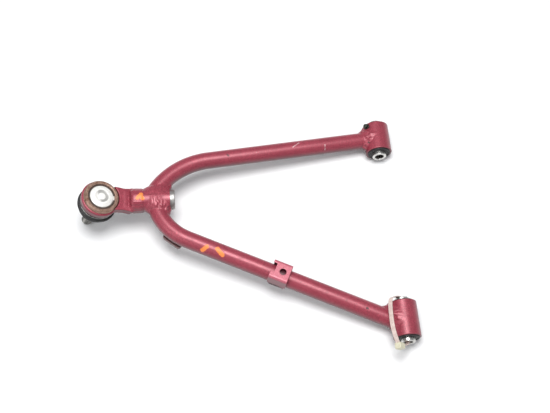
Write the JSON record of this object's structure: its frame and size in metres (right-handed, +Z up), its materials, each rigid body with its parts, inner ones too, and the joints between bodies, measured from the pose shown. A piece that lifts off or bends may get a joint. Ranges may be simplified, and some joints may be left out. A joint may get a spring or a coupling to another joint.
{
  "type": "suspension control arm",
  "caption": "Two-legged tube control arm with bushed pivot housings at one side and a sealed ball joint in a bent forged head at the other.",
  "frame": {"origin": "centre of the front pivot housing, on the pivot axis", "axes": "+X inboard (the ball joint is at -X), +Y forward along the pivot axis, +Z up as the arm lies on a flat surface"},
  "size_m": [0.3638, 0.2786, 0.0673],
  "materials": {
    "frame_paint": "metallic satin, worn",
    "bush_polymer": "matte",
    "sleeve_steel": "turned",
    "nipple_steel": "dark plated",
    "joint_body_steel": "weathered",
    "cap_steel": "bright pressed",
    "snap_ring_steel": "phosphate, browned",
    "spring_steel": "plain",
    "seat_polymer": "natural",
    "stud_steel": "turned",
    "boot_rubber": "dusty",
    "wire_steel": "plain",
    "nylon": "translucent",
    "plug_zinc": "satin"
  },
  "bodies": {
    "arm": {"stem_tube": "frame_paint", "front_leg_tube": "frame_paint", "rear_leg_tube": "frame_paint", "front_pivot_housing": "frame_paint", "rear_pivot_housing": "frame_paint", "ball_joint_head": "frame_paint", "stem_end_plug": "plug_zinc", "front_leg_stem_weld": "frame_paint", "rear_leg_stem_weld": "frame_paint", "front_pivot_weld": "frame_paint", "rear_pivot_weld": "frame_paint", "stem_head_weld": "frame_paint", "hose_bracket": "frame_paint", "hose_bracket_weld": "frame_paint", "lower_line_tab": "frame_paint", "front_housing_front_bush": "bush_polymer", "front_housing_rear_bush": "bush_polymer", "rear_housing_front_bush": "bush_polymer", "rear_housing_rear_bush": "bush_polymer", "front_grease_nipple": "nipple_steel", "rear_grease_nipple": "nipple_steel", "ball_joint_body": "joint_body_steel", "ball_joint_cap": "cap_steel", "cap_snap_ring": "snap_ring_steel", "seat_spring": "spring_steel", "upper_ball_seat": "seat_polymer", "dust_boot": "boot_rubber", "boot_upper_ring": "wire_steel", "cable_tie": "nylon"},
    "front_sleeve": {"front_pivot_sleeve": "sleeve_steel"},
    "rear_sleeve": {"rear_pivot_sleeve": "sleeve_steel"},
    "joint_liner": {"ball_liner": "seat_polymer"},
    "boot_end": {"boot_lower_ring": "wire_steel"},
    "stud": {"ball_stud": "stud_steel"}
  },
  "joints": [
    {"name": "front_sleeve_spin", "type": "hinge", "parent": "arm", "child": "front_sleeve", "pos_m": [0, 0, 0], "axis": [0, 1, 0], "continuous": true},
    {"name": "rear_sleeve_spin", "type": "hinge", "parent": "arm", "child": "rear_sleeve", "pos_m": [0, -0.2218, 0], "axis": [0, 1, 0], "continuous": true},
    {"name": "ball_joint_travel", "type": "hinge", "parent": "arm", "child": "joint_liner", "pos_m": [-0.32146, -0.0694, 0.02891], "axis": [0, 1, 0], "range_deg": [-22, 22], "deforming": ["dust_boot"]},
    {"name": "ball_joint_fore_aft", "type": "hinge", "parent": "joint_liner", "child": "boot_end", "pos_m": [-0.32146, -0.0694, 0.02891], "axis": [0.8988, 0, -0.4384], "range_deg": [-22, 22], "deforming": ["dust_boot"]},
    {"name": "ball_stud_spin", "type": "hinge", "parent": "boot_end", "child": "stud", "pos_m": [-0.32146, -0.0694, 0.02891], "axis": [0.4384, 0, 0.8988], "continuous": true}
  ]
}
